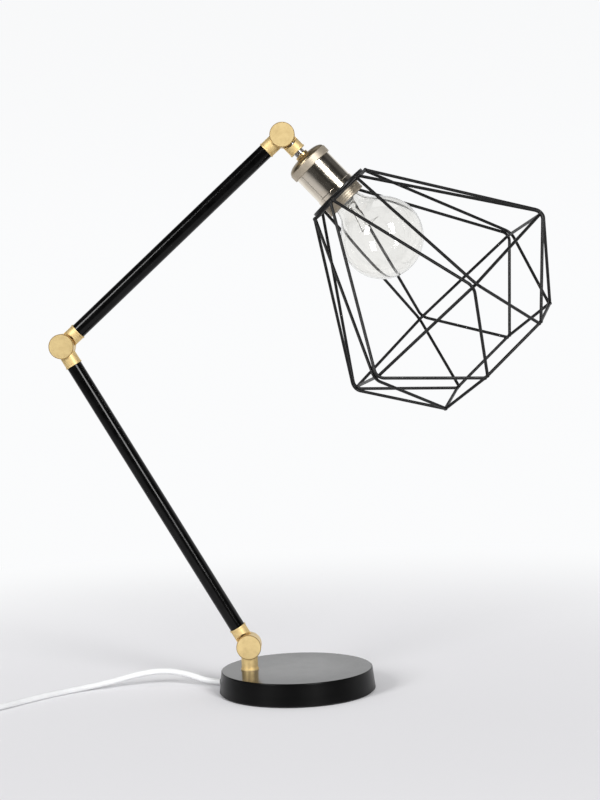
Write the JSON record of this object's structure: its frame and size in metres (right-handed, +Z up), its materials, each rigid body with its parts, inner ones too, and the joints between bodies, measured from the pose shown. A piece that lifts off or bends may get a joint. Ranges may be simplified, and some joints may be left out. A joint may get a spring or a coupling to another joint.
{
  "type": "adjustable desk lamp with a wire cage shade",
  "caption": "Two-arm desk lamp on a weighted round base: tubular arms on friction knuckles and a faceted wire cage around a globe bulb.",
  "frame": {"origin": "centre of the base's underside, on the surface the lamp stands on", "axes": "+Z up, the arms fold in the plane y = 0 with the head towards +X, and all three knuckles turn about Y"},
  "size_m": [0.7629, 0.2592, 0.5491],
  "materials": {
    "base_black": "semi-gloss black lacquer over a turned cover",
    "cast_iron": "as cast",
    "pad_rubber": "matte black rubber",
    "zinc_steel": "bright zinc plate",
    "satin_brass": "satin brushed brass",
    "nylon": "natural nylon",
    "gloss_black": "gloss black lacquer",
    "nickel": "polished and satin nickel",
    "porcelain": "glazed ceramic",
    "contact_brass": "bare brass strip and screws",
    "wire_black": "satin black powder coat",
    "clear_glass": "clear blown glass",
    "filament": "fine tungsten and support wire",
    "plated_pins": "bright plated contact metal",
    "white_plastic": "white moulded plastic",
    "black_plastic": "black moulded plastic",
    "cord_white": "smooth white PVC sheath"
  },
  "bodies": {
    "base": {"base_cover": "base_black", "base_weight": "cast_iron", "base_pad": "pad_rubber", "cord_bush": "pad_rubber", "stem_nipple": "zinc_steel", "stem_washer": "zinc_steel", "stem_nut": "zinc_steel", "base_lead": "cord_white", "base_knuckle_front": "satin_brass", "base_knuckle_screw": "zinc_steel", "base_knuckle_ring": "nylon", "cord_lead": "cord_white", "cord_coil": "cord_white", "cord_tail": "cord_white", "switch_body": "white_plastic", "plug_body": "white_plastic", "plug_pins": "plated_pins"},
    "lower_arm": {"base_knuckle_rear": "satin_brass", "lower_tube": "gloss_black", "lower_lead": "cord_white", "elbow_front": "satin_brass", "elbow_screw": "zinc_steel", "elbow_ring": "nylon"},
    "upper_arm": {"elbow_rear": "satin_brass", "upper_tube": "gloss_black", "upper_lead": "cord_white", "head_knuckle_front": "satin_brass", "head_knuckle_screw": "zinc_steel", "head_knuckle_ring": "nylon"},
    "head": {"head_knuckle_rear": "satin_brass", "head_nipple": "zinc_steel", "nipple_nut": "satin_brass", "socket_cap": "nickel", "socket_body": "nickel", "socket_insulator": "porcelain", "thread_shell": "nickel", "centre_contact": "contact_brass", "terminal_screws": "contact_brass", "ring_nut": "nickel", "fitter_plate": "wire_black", "top_ring": "wire_black", "wide_ring": "wire_black", "lower_ring": "wire_black", "bulb_glass": "clear_glass", "bulb_cap": "plated_pins", "bulb_mount": "clear_glass", "bulb_filament": "filament", "cage_wire_01": "wire_black", "cage_wire_02": "wire_black", "cage_wire_03": "wire_black", "cage_wire_04": "wire_black", "cage_wire_05": "wire_black", "cage_wire_06": "wire_black", "cage_wire_07": "wire_black", "cage_wire_08": "wire_black", "cage_wire_09": "wire_black", "cage_wire_10": "wire_black", "cage_wire_11": "wire_black", "cage_wire_12": "wire_black"},
    "rocker": {"switch_rocker": "black_plastic"}
  },
  "joints": [
    {"name": "base_tilt", "type": "hinge", "parent": "base", "child": "lower_arm", "pos_m": [-0.0457, 0, 0.0457], "axis": [0, 1, 0], "range_deg": [-30, 30]},
    {"name": "elbow_fold", "type": "hinge", "parent": "lower_arm", "child": "upper_arm", "pos_m": [-0.21452, 0, 0.34313], "axis": [0, 1, 0], "range_deg": [-60, 20]},
    {"name": "head_tilt", "type": "hinge", "parent": "upper_arm", "child": "head", "pos_m": [0.0047, 0, 0.53707], "axis": [0, 1, 0], "range_deg": [-90, 10]},
    {"name": "switch_rock", "type": "hinge", "parent": "base", "child": "rocker", "pos_m": [-0.3635, -0.066, 0.0125], "axis": [0, 1, 0], "range_deg": [0, 18]}
  ]
}
